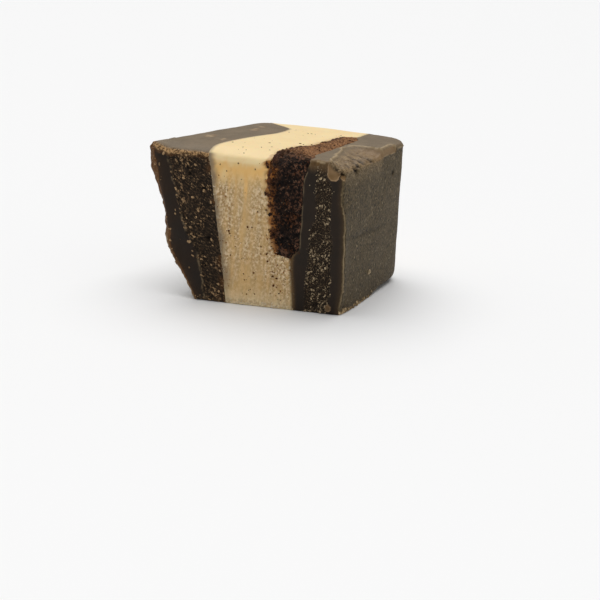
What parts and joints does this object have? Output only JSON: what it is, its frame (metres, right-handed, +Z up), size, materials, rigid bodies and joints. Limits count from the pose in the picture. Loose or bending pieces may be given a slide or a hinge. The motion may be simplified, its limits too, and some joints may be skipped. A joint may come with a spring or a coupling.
{
  "type": "layered fudge piece",
  "caption": "Hand-cut piece of cookies and cream fudge with chocolate, cream and chocolate layers standing on edge, a chunk of cookie sunk in the cream and a crumbled cut front.",
  "frame": {"origin": "under the middle of the piece's bounding box, on the cut face that it rests on", "axes": "+X across the layers from left to right, +Y away from the crumbled front, +Z up"},
  "size_m": [0.0446, 0.0394, 0.0312],
  "materials": {
    "chocolate_left": "dark chocolate fudge, smooth and slightly waxy where the knife passed, crumbled with tan flakes where it broke",
    "cream": "pale yellow cream fudge, waxy, with fine dark crumbs and a whitish grain on the front",
    "chocolate_right": "dark chocolate fudge with a matte grey-brown skin, a crumbled strip and a chipped top edge",
    "cookie": "dark, open, rough cookie crumb"
  },
  "bodies": {
    "root": {"chocolate_layer_left": "chocolate_left", "cream_layer": "cream", "chocolate_layer_right": "chocolate_right", "cookie_chunk": "cookie"}
  },
  "joints": []
}
